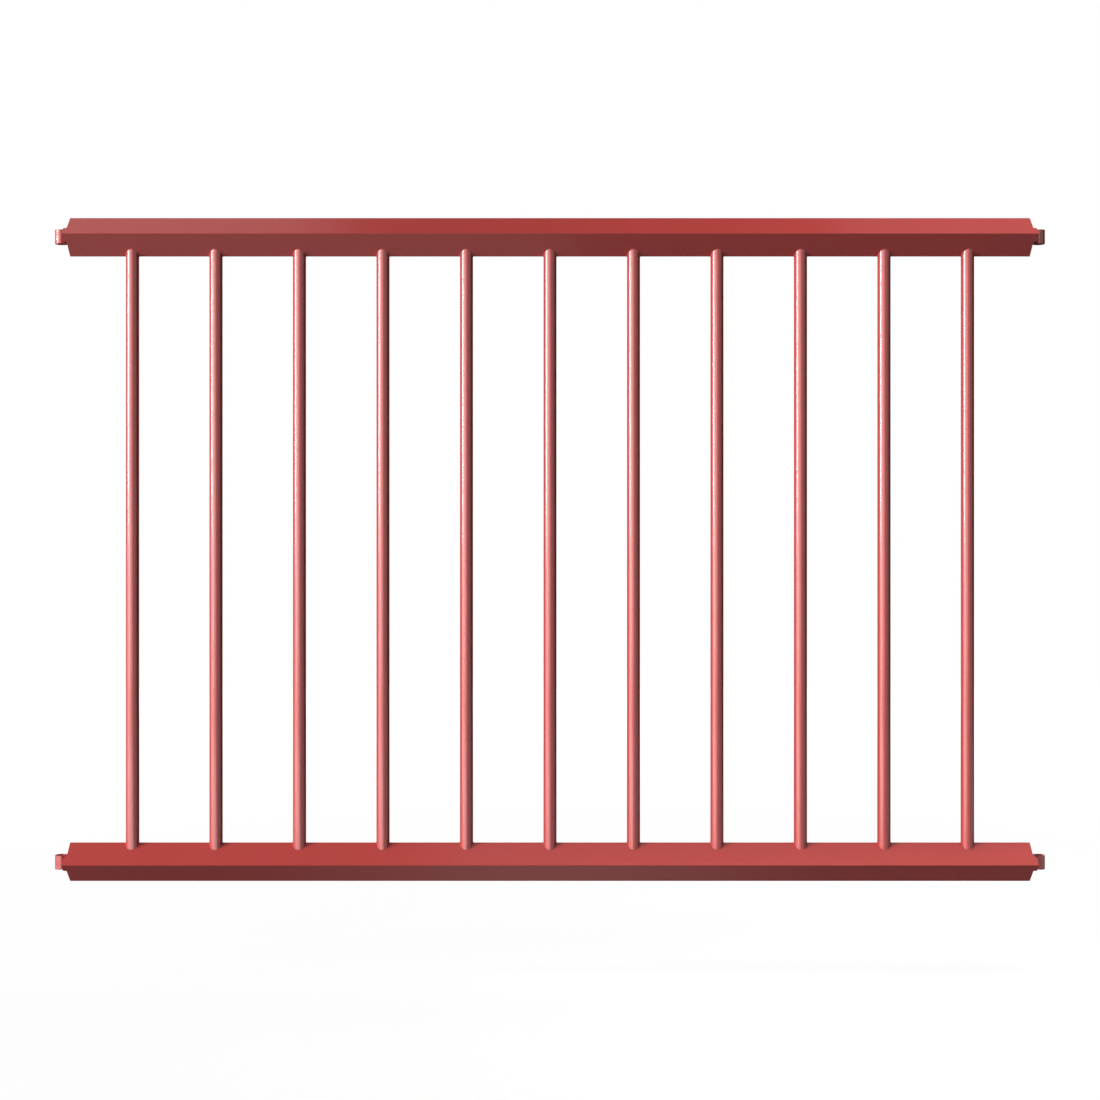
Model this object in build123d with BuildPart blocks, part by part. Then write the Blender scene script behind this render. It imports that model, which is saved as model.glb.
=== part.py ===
"""Barred guard-rail panel: two square rails set corner-up, upright bars and pin eyes at the rail ends.

Millimetres, +Z up, the front faces -Y. The origin is the centre of the lower left eye's underside,
the seat that the panel hangs on.
"""

import os

from build123d import *

# Rails: square hollow section, set with a corner up and a corner to the front
rail_length = 1400.0
rail_side = 40.0
rail_wall = 3.0
rail_corner_radius = 0.5
rail_spacing = 911.0

# Bars: round tube, coped over the rails' corners
bar_count = 11
bar_diameter = 19.0
bar_wall = 1.5
bar_end_margin = 91.0

# End blocks: a spigot inside the rail and a flat tongue that stands out of its end
tongue_height = 20.0
tongue_reach = 5.0
tongue_chamfer = 1.0
spigot_length = 15.0
spigot_clearance = 0.2

# Eyes: short upright tubes for the posts' pins, each with a flat that seats on its tongue
eye_bore = 12.5
eye_wall = 2.35
eye_flat_depth = 0.5

# Places that follow from the sizes above
bar_radius = bar_diameter / 2
eye_radius = eye_bore / 2 + eye_wall
eye_axis_to_tongue = eye_radius - eye_flat_depth
rail_left_x = eye_axis_to_tongue + tongue_reach
panel_centre_x = rail_left_x + rail_length / 2
lower_rail_z = tongue_height / 2
upper_rail_z = lower_rail_z + rail_spacing
bar_pitch = (rail_length - 2 * bar_end_margin) / (bar_count - 1)
rail_corner_reach = rail_side / 2**0.5

rail_heights = {"top": upper_rail_z, "bottom": lower_rail_z}


def rail_outline(height, mode=Mode.ADD):
    """The rail's outer section: a square with small rounded corners, turned corner-up."""
    with Locations((0, height)):
        RectangleRounded(rail_side, rail_side, rail_corner_radius, rotation=45, mode=mode)


def save(piece, name):
    """Label a finished piece and write it under its own name."""
    piece.part.label = name
    export_step(piece.part, f"parts/{name}.step")


os.makedirs("parts", exist_ok=True)

# Rails
for name, height in rail_heights.items():
    with BuildPart() as rail:
        with BuildSketch(Plane.YZ.offset(rail_left_x)):
            rail_outline(height)
            with Locations((0, height)):
                bore_side = rail_side - 2 * rail_wall
                Rectangle(bore_side, bore_side, rotation=45, mode=Mode.SUBTRACT)
        extrude(amount=rail_length)
    save(rail, f"{name}_rail")

# Bars: each tube runs from rail to rail, and both ends are coped to the rails' outer section
first_bar_x = rail_left_x + bar_end_margin
for index in range(bar_count):
    bar_x = first_bar_x + index * bar_pitch
    with BuildPart() as bar:
        with BuildSketch(Plane.XY.offset(lower_rail_z)):
            with Locations((bar_x, 0)):
                Circle(bar_radius)
                Circle(bar_radius - bar_wall, mode=Mode.SUBTRACT)
        extrude(amount=rail_spacing)
        with BuildSketch(Plane.YZ.offset(bar_x)):
            for height in rail_heights.values():
                rail_outline(height)
        extrude(amount=bar_diameter, both=True, mode=Mode.SUBTRACT)
    save(bar, f"bar_{index + 1:02d}")

# End blocks and eyes, made at the left end of each rail and mirrored to the right end
mirror_plane = Plane.YZ.offset(panel_centre_x)
spigot_side = rail_side - 2 * rail_wall - 2 * spigot_clearance
eye_flat_width = 2 * eye_radius

for level, height in (("upper", upper_rail_z), ("lower", lower_rail_z)):
    with BuildPart() as left_block:
        with BuildSketch(Plane.YZ.offset(rail_left_x)):
            with Locations((0, height)):
                Rectangle(spigot_side, spigot_side, rotation=45)
        extrude(amount=spigot_length)
        with BuildSketch(Plane.YZ.offset(rail_left_x)):
            rail_outline(height)
            with Locations((0, height)):
                Rectangle(2 * rail_corner_reach, tongue_height, mode=Mode.INTERSECT)
        extrude(amount=-tongue_reach)
        tongue_end = left_block.faces().sort_by(Axis.X)[0]
        chamfer(tongue_end.edges().filter_by(Axis.Y), tongue_chamfer)

    with BuildPart() as left_eye:
        with BuildSketch(Plane.XY.offset(height - tongue_height / 2)):
            Circle(eye_radius)
            with Locations((eye_axis_to_tongue, 0)):
                Rectangle(
                    eye_flat_width,
                    eye_flat_width,
                    align=(Align.MIN, Align.CENTER),
                    mode=Mode.SUBTRACT,
                )
            Circle(eye_bore / 2, mode=Mode.SUBTRACT)
        extrude(amount=tongue_height)

    with BuildPart() as right_block:
        mirror(left_block.part, about=mirror_plane)

    with BuildPart() as right_eye:
        mirror(left_eye.part, about=mirror_plane)

    save(left_block, f"{level}_left_end_block")
    save(right_block, f"{level}_right_end_block")
    save(left_eye, f"{level}_left_eye")
    save(right_eye, f"{level}_right_eye")
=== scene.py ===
import math

import bpy
import bmesh
from mathutils import Matrix, Vector


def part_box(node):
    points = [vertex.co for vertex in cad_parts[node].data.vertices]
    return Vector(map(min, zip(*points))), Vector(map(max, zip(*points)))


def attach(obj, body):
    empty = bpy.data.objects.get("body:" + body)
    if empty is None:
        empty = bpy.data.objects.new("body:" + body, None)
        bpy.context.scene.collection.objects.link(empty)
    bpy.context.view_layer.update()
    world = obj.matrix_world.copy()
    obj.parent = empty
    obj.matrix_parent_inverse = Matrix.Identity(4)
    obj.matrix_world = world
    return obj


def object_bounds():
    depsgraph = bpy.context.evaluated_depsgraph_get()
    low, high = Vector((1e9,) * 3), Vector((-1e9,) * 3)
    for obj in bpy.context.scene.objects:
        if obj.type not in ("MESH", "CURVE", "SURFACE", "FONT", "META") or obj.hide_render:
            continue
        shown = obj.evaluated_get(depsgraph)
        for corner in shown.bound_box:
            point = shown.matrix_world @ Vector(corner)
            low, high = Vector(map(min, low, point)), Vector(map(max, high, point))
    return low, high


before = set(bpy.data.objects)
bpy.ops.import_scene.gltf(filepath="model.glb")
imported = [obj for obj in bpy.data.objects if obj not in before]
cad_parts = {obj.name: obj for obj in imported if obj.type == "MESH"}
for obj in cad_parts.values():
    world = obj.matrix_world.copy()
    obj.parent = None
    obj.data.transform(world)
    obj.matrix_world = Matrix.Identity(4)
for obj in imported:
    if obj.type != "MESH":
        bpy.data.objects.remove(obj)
cad_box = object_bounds()

# Rails
# Two lengths of square steel hollow section, turned so that one corner is up and one faces the viewer,
# sprayed with red enamel after welding. Their flat facets carry the long soft reflections.
ENAMEL_RED = (0.44, 0.044, 0.038, 1.0)
ENAMEL_RED_THIN = (0.47, 0.052, 0.046, 1.0)
WHITE = (1.0, 1.0, 1.0, 1.0)
TONE_DETAIL = 3.0
PEEL_DETAIL = 2.0
PEEL_HEIGHT = 0.0002
ROUGHNESS_CHANGE = 0.04
COAT_ROUGHNESS = 0.13
FLAT_FINISH = dict(peel_scale=500.0, peel_depth=0.03, gloss=0.15, roughness=0.46, coat=0.3)


def red_enamel(name, tone_scale, peel_scale, peel_depth, gloss, roughness, coat, sheen=WHITE):
    """Red enamel with slow changes of tone, a fine orange-peel skin and a clear top coat."""
    material = bpy.data.materials.new(name)
    material.use_nodes = True
    nodes = material.node_tree.nodes
    links = material.node_tree.links
    shader = nodes["Principled BSDF"]
    place = nodes.new("ShaderNodeTexCoord")

    tone = nodes.new("ShaderNodeTexNoise")
    tone.inputs["Scale"].default_value = tone_scale
    tone.inputs["Detail"].default_value = TONE_DETAIL
    links.new(place.outputs["Object"], tone.inputs["Vector"])

    colour = nodes.new("ShaderNodeMix")
    colour.data_type = "RGBA"
    colour.inputs["A"].default_value = ENAMEL_RED
    colour.inputs["B"].default_value = ENAMEL_RED_THIN
    links.new(tone.outputs["Fac"], colour.inputs["Factor"])
    links.new(colour.outputs["Result"], shader.inputs["Base Color"])

    uneven = nodes.new("ShaderNodeMapRange")
    uneven.inputs["To Min"].default_value = roughness - ROUGHNESS_CHANGE
    uneven.inputs["To Max"].default_value = roughness + ROUGHNESS_CHANGE
    links.new(tone.outputs["Fac"], uneven.inputs["Value"])
    links.new(uneven.outputs["Result"], shader.inputs["Roughness"])

    peel = nodes.new("ShaderNodeTexNoise")
    peel.inputs["Scale"].default_value = peel_scale
    peel.inputs["Detail"].default_value = PEEL_DETAIL
    links.new(place.outputs["Object"], peel.inputs["Vector"])
    bump = nodes.new("ShaderNodeBump")
    bump.inputs["Strength"].default_value = peel_depth
    bump.inputs["Distance"].default_value = PEEL_HEIGHT
    links.new(peel.outputs["Fac"], bump.inputs["Height"])
    links.new(bump.outputs["Normal"], shader.inputs["Normal"])

    shader.inputs["Specular IOR Level"].default_value = gloss
    shader.inputs["Specular Tint"].default_value = sheen
    shader.inputs["Coat Weight"].default_value = coat
    shader.inputs["Coat Roughness"].default_value = COAT_ROUGHNESS
    return material


def paint(node, material):
    """Give a CAD node its finish."""
    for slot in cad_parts[node].material_slots:
        slot.material = material


rail_enamel = red_enamel("rail_enamel", tone_scale=7.0, **FLAT_FINISH)
for rail in ("top_rail", "bottom_rail"):
    paint(rail, rail_enamel)

# Bars
# Eleven round steel tubes, coped at both ends to sit over the rails' corners and welded there, under the
# same coat of enamel. On their round the enamel is glossier and has a pinkish sheen.
PINKISH_SHEEN = (1.0, 0.6, 0.6, 1.0)
ROUND_FINISH = dict(
    peel_scale=600.0, peel_depth=0.01, gloss=1.0, roughness=0.45, coat=0.7, sheen=PINKISH_SHEEN
)
BAR_NAMES = sorted(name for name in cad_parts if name.startswith("bar_"))
bar_enamel = red_enamel("bar_enamel", tone_scale=9.0, **ROUND_FINISH)
for bar in BAR_NAMES:
    paint(bar, bar_enamel)

# Bar welds
# A thin bead of weld metal runs round each bar where its coped end sits on a rail's corner. It is laid by
# hand in small overlapping ripples, and the enamel goes over it.
BEAD_RADIUS = 0.0005
BEAD_SIDES = 8
RING_STEPS = 72
RING_RIPPLES = 24
RIPPLE_DEPTH = 0.14
MERGE_DISTANCE = 1e-6
RAIL_SIDE = 0.040
QUARTER_TURN = math.radians(90.0)
FULL_TURN = math.radians(360.0)
rail_corner_reach = RAIL_SIDE / math.sqrt(2.0)
weld_enamel = red_enamel(
    "weld_enamel",
    tone_scale=120.0,
    peel_scale=900.0,
    peel_depth=0.04,
    gloss=0.5,
    roughness=0.42,
    coat=0.4,
)


def lay_welds(name, bead, places):
    """Copy a bead from the origin to each place, and finish them as one painted piece of the panel."""
    first_bead = list(bead.verts) + list(bead.edges) + list(bead.faces)
    for place in places[1:]:
        copied = bmesh.ops.duplicate(bead, geom=first_bead)["geom"]
        moved = [part for part in copied if isinstance(part, bmesh.types.BMVert)]
        bmesh.ops.translate(bead, vec=place - places[0], verts=moved)
    bmesh.ops.translate(bead, vec=places[0], verts=bead.verts)
    bmesh.ops.recalc_face_normals(bead, faces=bead.faces)
    for face in bead.faces:
        face.smooth = True
    weld_data = bpy.data.meshes.new(name)
    bead.to_mesh(weld_data)
    bead.free()
    weld_data.materials.append(weld_enamel)
    welds = bpy.data.objects.new(name, weld_data)
    bpy.context.scene.collection.objects.link(welds)
    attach(welds, "root")


bar_low, bar_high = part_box(BAR_NAMES[0])
bar_radius = (bar_high.x - bar_low.x) / 2
for rail, bars_side in (("top_rail", -1.0), ("bottom_rail", 1.0)):
    ring = bmesh.new()
    upright = Matrix.Translation((bar_radius, 0.0, 0.0)) @ Matrix.Rotation(QUARTER_TURN, 4, "X")
    bmesh.ops.create_circle(ring, segments=BEAD_SIDES, radius=BEAD_RADIUS, matrix=upright)
    bmesh.ops.spin(
        ring,
        geom=list(ring.verts) + list(ring.edges),
        cent=(0.0, 0.0, 0.0),
        axis=(0.0, 0.0, 1.0),
        angle=FULL_TURN,
        steps=RING_STEPS,
        use_merge=True,
    )
    bmesh.ops.remove_doubles(ring, verts=ring.verts, dist=MERGE_DISTANCE)
    for vert in ring.verts:
        around = math.atan2(vert.co.y, vert.co.x)
        swell = 1.0 + RIPPLE_DEPTH * math.cos(RING_RIPPLES * around)
        middle = Vector((bar_radius * math.cos(around), bar_radius * math.sin(around), 0.0))
        vert.co = middle + (vert.co - middle) * swell
        vert.co.z -= bars_side * abs(vert.co.y)

    rail_low, rail_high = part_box(rail)
    corner_z = (rail_low.z + rail_high.z) / 2 + bars_side * rail_corner_reach
    ring_places = []
    for bar in BAR_NAMES:
        bar_low, bar_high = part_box(bar)
        ring_places.append(Vector(((bar_low.x + bar_high.x) / 2, 0.0, corner_z)))
    lay_welds(rail + "_welds", ring, ring_places)

# End blocks
# A solid steel plug closes each end of a rail, and its flat tongue stands out past the end. The plugs are
# driven in before painting, so the same enamel covers them.
BLOCK_NAMES = sorted(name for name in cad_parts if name.endswith("_end_block"))
UPPER_BLOCKS = [name for name in BLOCK_NAMES if name.startswith("upper_")]
LOWER_BLOCKS = [name for name in BLOCK_NAMES if name.startswith("lower_")]
block_enamel = red_enamel("block_enamel", tone_scale=20.0, **FLAT_FINISH)
for block in BLOCK_NAMES:
    paint(block, block_enamel)

# Eyes
# Short upright lengths of steel pipe, each with a flat filed on it that sits against a tongue. They drop
# over a post's pins, and have the bars' glossy enamel.
EYE_NAMES = sorted(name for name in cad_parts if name.endswith("_eye"))
eye_enamel = red_enamel("eye_enamel", tone_scale=30.0, **ROUND_FINISH)
for eye in EYE_NAMES:
    paint(eye, eye_enamel)

# Eye welds
# Two upright beads of weld metal hold each eye to its tongue, one on each side of the eye's flat. They are
# rippled as the bars' beads are, and taper at their ends.
EYE_FLAT_HALF = 0.0029
EYE_BEAD_MARGIN = 0.0012
EYE_BEAD_CUTS = 15
EYE_BEAD_TAPER = 0.5
eye_low, eye_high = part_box(EYE_NAMES[0])
bead_length = eye_high.z - eye_low.z - 2 * EYE_BEAD_MARGIN
eye_bead = bmesh.new()
bmesh.ops.create_cone(
    eye_bead,
    cap_ends=True,
    segments=BEAD_SIDES,
    radius1=BEAD_RADIUS,
    radius2=BEAD_RADIUS,
    depth=bead_length,
)
long_edges = []
for edge in eye_bead.edges:
    rise = abs(edge.verts[0].co.z - edge.verts[1].co.z)
    if rise > bead_length / 2:
        long_edges.append(edge)
bmesh.ops.subdivide_edges(eye_bead, edges=long_edges, cuts=EYE_BEAD_CUTS)
for vert in eye_bead.verts:
    step = round((vert.co.z / bead_length + 0.5) * (EYE_BEAD_CUTS + 1))
    at_end = step in (0, EYE_BEAD_CUTS + 1)
    swell = EYE_BEAD_TAPER if at_end else 1.0 + RIPPLE_DEPTH * (-1.0) ** step
    vert.co.x *= swell
    vert.co.y *= swell

eye_bead_places = []
for eye in EYE_NAMES:
    eye_low, eye_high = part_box(eye)
    flat_x = eye_high.x if "left" in eye else eye_low.x
    for flat_y in (-EYE_FLAT_HALF, EYE_FLAT_HALF):
        eye_bead_places.append(Vector((flat_x, flat_y, (eye_low.z + eye_high.z) / 2)))
lay_welds("eye_welds", eye_bead, eye_bead_places)

# Floor
# A plain pale studio floor, below the panel by the gap that a guard rail keeps to the ground. It fades
# into the white surroundings, and keeps the panel's soft shadow.
GROUND_GAP = 0.13
FLOOR_HALF = 4.8
FLOOR_GREY = (0.12, 0.12, 0.12, 1.0)
panel_low, panel_high = cad_box
panel_centre = (panel_low + panel_high) / 2
floor_z = panel_low.z - GROUND_GAP
floor_middle = Vector((panel_centre.x, panel_centre.y, floor_z))

floor_mesh = bmesh.new()
bmesh.ops.create_grid(floor_mesh, x_segments=1, y_segments=1, size=FLOOR_HALF)
bmesh.ops.translate(floor_mesh, vec=floor_middle, verts=floor_mesh.verts)
floor_data = bpy.data.meshes.new("floor")
floor_mesh.to_mesh(floor_data)
floor_mesh.free()
floor = bpy.data.objects.new("floor", floor_data)
bpy.context.scene.collection.objects.link(floor)


def matt_paint(name, colour):
    """A dull paint with no gloss, and a white glow that is off until its strength is set."""
    material = bpy.data.materials.new(name)
    material.use_nodes = True
    shader = material.node_tree.nodes["Principled BSDF"]
    shader.inputs["Base Color"].default_value = colour
    shader.inputs["Roughness"].default_value = 1.0
    shader.inputs["Specular IOR Level"].default_value = 0.0
    shader.inputs["Emission Color"].default_value = WHITE
    return material


def seen_directly(nodes, links):
    """1 for rays from the camera, from gloss or through glass, and 0 for the rays that light the object."""
    path = nodes.new("ShaderNodeLightPath")
    camera_or_gloss = nodes.new("ShaderNodeMath")
    camera_or_gloss.operation = "MAXIMUM"
    links.new(path.outputs["Is Camera Ray"], camera_or_gloss.inputs[0])
    links.new(path.outputs["Is Glossy Ray"], camera_or_gloss.inputs[1])
    seen = nodes.new("ShaderNodeMath")
    seen.operation = "MAXIMUM"
    links.new(camera_or_gloss.outputs["Value"], seen.inputs[0])
    links.new(path.outputs["Is Transmission Ray"], seen.inputs[1])
    return seen.outputs["Value"]


def fade_outwards(nodes, links, start, end, near_level, far_level):
    """A level that changes with the distance from the point of the floor below the panel's middle."""
    place = nodes.new("ShaderNodeTexCoord")
    reach = nodes.new("ShaderNodeVectorMath")
    reach.operation = "DISTANCE"
    reach.inputs[1].default_value = floor_middle
    links.new(place.outputs["Object"], reach.inputs[0])
    fade = nodes.new("ShaderNodeMapRange")
    fade.interpolation_type = "SMOOTHSTEP"
    fade.inputs["From Min"].default_value = start
    fade.inputs["From Max"].default_value = end
    fade.inputs["To Min"].default_value = near_level
    fade.inputs["To Max"].default_value = far_level
    links.new(reach.outputs["Value"], fade.inputs["Value"])
    return fade.outputs["Result"]


floor_paint = matt_paint("pale_floor", FLOOR_GREY)
floor_nodes = floor_paint.node_tree.nodes
floor_links = floor_paint.node_tree.links
floor_shader = floor_nodes["Principled BSDF"]
floor_white = fade_outwards(floor_nodes, floor_links, start=1.0, end=3.5, near_level=0.91, far_level=1.0)
floor_glow = floor_nodes.new("ShaderNodeMath")
floor_glow.operation = "MULTIPLY"
floor_links.new(seen_directly(floor_nodes, floor_links), floor_glow.inputs[0])
floor_links.new(floor_white, floor_glow.inputs[1])
floor_links.new(floor_glow.outputs["Value"], floor_shader.inputs["Emission Strength"])
floor_data.materials.append(floor_paint)

# Surroundings
# A plain white studio all round. The camera and the gloss see it as white, and it gives the panel only a
# low even fill.
FILL_STRENGTH = 0.03
world = bpy.data.worlds.new("studio")
bpy.context.scene.world = world
world.use_nodes = True
world_nodes = world.node_tree.nodes
world_links = world.node_tree.links
background = world_nodes["Background"]
background.inputs["Color"].default_value = WHITE
world_level = world_nodes.new("ShaderNodeMapRange")
world_level.inputs["To Min"].default_value = FILL_STRENGTH
world_level.inputs["To Max"].default_value = 1.0
world_links.new(seen_directly(world_nodes, world_links), world_level.inputs["Value"])
world_links.new(world_level.outputs["Result"], background.inputs["Strength"])

# Key lamp
# A large soft box far off at the left front lights the panel, and doesn't show in its gloss. It stands
# high, which keeps the rails' lower facets darker than the upper ones.
FAR = 20.0


def round_panel(azimuth, distance, height):
    """An offset from the panel's centre: azimuth 0 is towards the camera, and 90 degrees to its right."""
    turn = math.radians(azimuth)
    return Vector((distance * math.sin(turn), -distance * math.cos(turn), height))


def soft_box(name, offset, width, height, radiance, facing=None):
    """A lamp of even brightness, placed from the panel's centre, which it faces level by default."""
    lamp_data = bpy.data.lights.new(name, "AREA")
    lamp_data.shape = "RECTANGLE"
    lamp_data.size = width
    lamp_data.size_y = height
    lamp_data.energy = radiance * math.pi * width * height
    lamp = bpy.data.objects.new(name, lamp_data)
    bpy.context.scene.collection.objects.link(lamp)
    lamp.location = panel_centre + offset
    aim = Vector((-offset.x, -offset.y, 0.0)) if facing is None else facing
    lamp.rotation_euler = aim.to_track_quat("-Z", "Y").to_euler()
    lamp.visible_camera = False
    return lamp


key_lamp = soft_box(
    "key_soft_box",
    round_panel(azimuth=-68.0, distance=FAR, height=5.9),
    width=5.6,
    height=9.4,
    radiance=34.0,
)
key_lamp.visible_glossy = False

# Reflections on the bars
# A bright strip that ends just above camera level gives the white streak in the upper half of each bar, and
# two paler reflectors give the pink beside it. They show in the gloss of the bars and eyes alone.
UP = Vector((0.0, 0.0, 1.0))
FLOOR_LAMP_LIFT = 0.002
floor_offset = floor_z - panel_centre.z
floor_lamp_offset = floor_offset + FLOOR_LAMP_LIFT


def light_only(lamp, reached):
    """Let a lamp reach the named pieces of the panel and nothing else."""
    receivers = bpy.data.collections.new(lamp.name + "_receivers")
    for piece in reached:
        receivers.objects.link(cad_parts[piece])
    lamp.light_linking.receiver_collection = receivers


streak_strip = soft_box(
    "strip_lamp",
    round_panel(azimuth=-66.0, distance=FAR, height=2.7),
    width=2.8,
    height=4.6,
    radiance=76.0,
)
far_reflector = soft_box(
    "far_reflector",
    round_panel(azimuth=-23.0, distance=FAR, height=0.0),
    width=16.0,
    height=9.2,
    radiance=3.1,
)
floor_reflector = soft_box(
    "floor_reflector",
    Vector((-1.55, -1.65, floor_lamp_offset)),
    width=2.9,
    height=1.9,
    radiance=3.8,
    facing=UP,
)
for reflection in (streak_strip, far_reflector, floor_reflector):
    reflection.visible_diffuse = False
    light_only(reflection, BAR_NAMES + EYE_NAMES)

# Reflections on the rails
# Two reflectors hang over the panel, and one lies on the floor under its left half. They give the sheen of
# the facets that face them, and the right one also lights the bottom rail.
OVERHEAD = 6.0
left_reflector = soft_box(
    "left_reflector",
    Vector((-3.2, 1.1, OVERHEAD)),
    width=4.0,
    height=3.0,
    radiance=0.8,
    facing=-UP,
)
right_reflector = soft_box(
    "right_reflector",
    Vector((1.5, -1.7, OVERHEAD)),
    width=4.2,
    height=3.6,
    radiance=1.3,
    facing=-UP,
)
under_reflector = soft_box(
    "under_reflector",
    Vector((-0.78, -0.22, floor_lamp_offset)),
    width=1.66,
    height=1.05,
    radiance=0.75,
    facing=UP,
)
left_reflector.visible_diffuse = False
under_reflector.visible_diffuse = False
light_only(under_reflector, ["top_rail"] + UPPER_BLOCKS)
light_only(right_reflector, ["bottom_rail"] + LOWER_BLOCKS)

# Fill lamps
# A narrow soft box stands near at the left front, a larger one behind lights the back, and a small lamp
# hangs high over the right end. That one brightens the rails there without showing in their gloss.
NEAR = 5.0
END_LAMP_SPREAD = math.radians(20.0)
soft_box(
    "side_soft_box",
    round_panel(azimuth=-47.0, distance=NEAR, height=0.6),
    width=0.9,
    height=2.4,
    radiance=10.0,
)
soft_box(
    "back_soft_box",
    Vector((1.55, 5.8, 4.23)),
    width=3.2,
    height=3.1,
    radiance=6.0,
    facing=Vector((-0.2, -0.8, -0.6)),
)
end_lamp = soft_box("end_lamp", Vector((0.95, -0.2, 7.0)), width=0.4, height=0.4, radiance=7.6, facing=-UP)
end_lamp.data.spread = END_LAMP_SPREAD
end_lamp.visible_glossy = False

# Flags
# Black cards out of the picture: one stands at each side, one lies on the floor behind the panel and one
# hangs over it. They show only in the gloss, and darken the bars' edges and the middle of the top rail.
CARD_BLACK = (0.02, 0.02, 0.02, 1.0)
SIDE_FLAG_DISTANCE = 4.0
SIDE_FLAG_HEIGHT = 3.0
CARD_LIFT = 0.001
flag_paint = matt_paint("black_card", CARD_BLACK)


def stage_card(name, card_mesh, finish):
    """Finish a flag or other card that shows in the gloss alone, and casts no shadow."""
    card_data = bpy.data.meshes.new(name)
    card_mesh.to_mesh(card_data)
    card_mesh.free()
    card_data.materials.append(finish)
    flag = bpy.data.objects.new(name, card_data)
    bpy.context.scene.collection.objects.link(flag)
    flag.visible_camera = False
    flag.visible_diffuse = False
    flag.visible_shadow = False


def level_card(name, offset, width, depth, finish):
    """A card that lies level, placed from the panel's centre."""
    card_mesh = bmesh.new()
    bmesh.ops.create_grid(card_mesh, x_segments=1, y_segments=1, size=0.5)
    bmesh.ops.scale(card_mesh, vec=Vector((width, depth, 1.0)), verts=card_mesh.verts)
    bmesh.ops.translate(card_mesh, vec=panel_centre + offset, verts=card_mesh.verts)
    stage_card(name, card_mesh, finish)


for side, near_edge, far_edge in (("left", -97.0, -155.0), ("right", 78.0, 155.0)):
    side_mesh = bmesh.new()
    feet = []
    for azimuth in (near_edge, far_edge):
        foot = panel_centre + round_panel(azimuth, SIDE_FLAG_DISTANCE, floor_offset)
        feet.append(side_mesh.verts.new(foot))
    foot_line = side_mesh.edges.new(feet)
    raised = bmesh.ops.extrude_edge_only(side_mesh, edges=[foot_line])["geom"]
    top_corners = [part for part in raised if isinstance(part, bmesh.types.BMVert)]
    bmesh.ops.translate(side_mesh, vec=UP * SIDE_FLAG_HEIGHT, verts=top_corners)
    stage_card(side + "_flag", side_mesh, flag_paint)

back_offset = Vector((0.0, 1.95, floor_offset + CARD_LIFT))
level_card("floor_flag", back_offset, width=7.0, depth=3.3, finish=flag_paint)
level_card("overhead_flag", Vector((0.14, 0.6, 3.4)), width=1.6, depth=0.65, finish=flag_paint)

# Foot card
# A strip of card lies on the floor under the bottom rail and glows, brightest in the middle and dimmer
# towards both ends. It shows only in the gloss, mainly that of the rail's lower facets, where its glow is a
# painted reflection.
foot_glow_paint = matt_paint("glowing_card", CARD_BLACK)
foot_nodes = foot_glow_paint.node_tree.nodes
foot_links = foot_glow_paint.node_tree.links
# The card's glow, full in the middle and fading towards both ends, paints a reflection into the rail's
# lower facets.
foot_glow_level = fade_outwards(foot_nodes, foot_links, start=0.0, end=0.55, near_level=1.0, far_level=0.38)
foot_links.new(foot_glow_level, foot_nodes["Principled BSDF"].inputs["Emission Strength"])
foot_offset = Vector((0.0, 0.04, floor_offset + CARD_LIFT))
level_card("foot_card", foot_offset, width=1.9, depth=0.22, finish=foot_glow_paint)

# Camera
# A camera level with the panel's middle and square to it, at the photograph's distance and framing. What is
# measured in the photograph's own pixels becomes metres by the rail's length.
PHOTO_PIXELS = 1100.0
RAIL_PIXELS = 959.5
DISTANCE_PIXELS = 1610.0
DROP_PIXELS = 0.5
SENSOR_WIDTH = 36.0
rail_low, rail_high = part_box("top_rail")
metres_per_pixel = (rail_high.x - rail_low.x) / RAIL_PIXELS
camera_data = bpy.data.cameras.new("camera")
camera_data.sensor_width = SENSOR_WIDTH
camera_data.lens = SENSOR_WIDTH * DISTANCE_PIXELS / PHOTO_PIXELS
camera = bpy.data.objects.new("camera", camera_data)
bpy.context.scene.collection.objects.link(camera)
camera.location = panel_centre - Vector((0.0, DISTANCE_PIXELS, DROP_PIXELS)) * metres_per_pixel
camera.rotation_euler = (QUARTER_TURN, 0.0, 0.0)
bpy.context.scene.camera = camera
bpy.context.scene.view_settings.view_transform = "Standard"
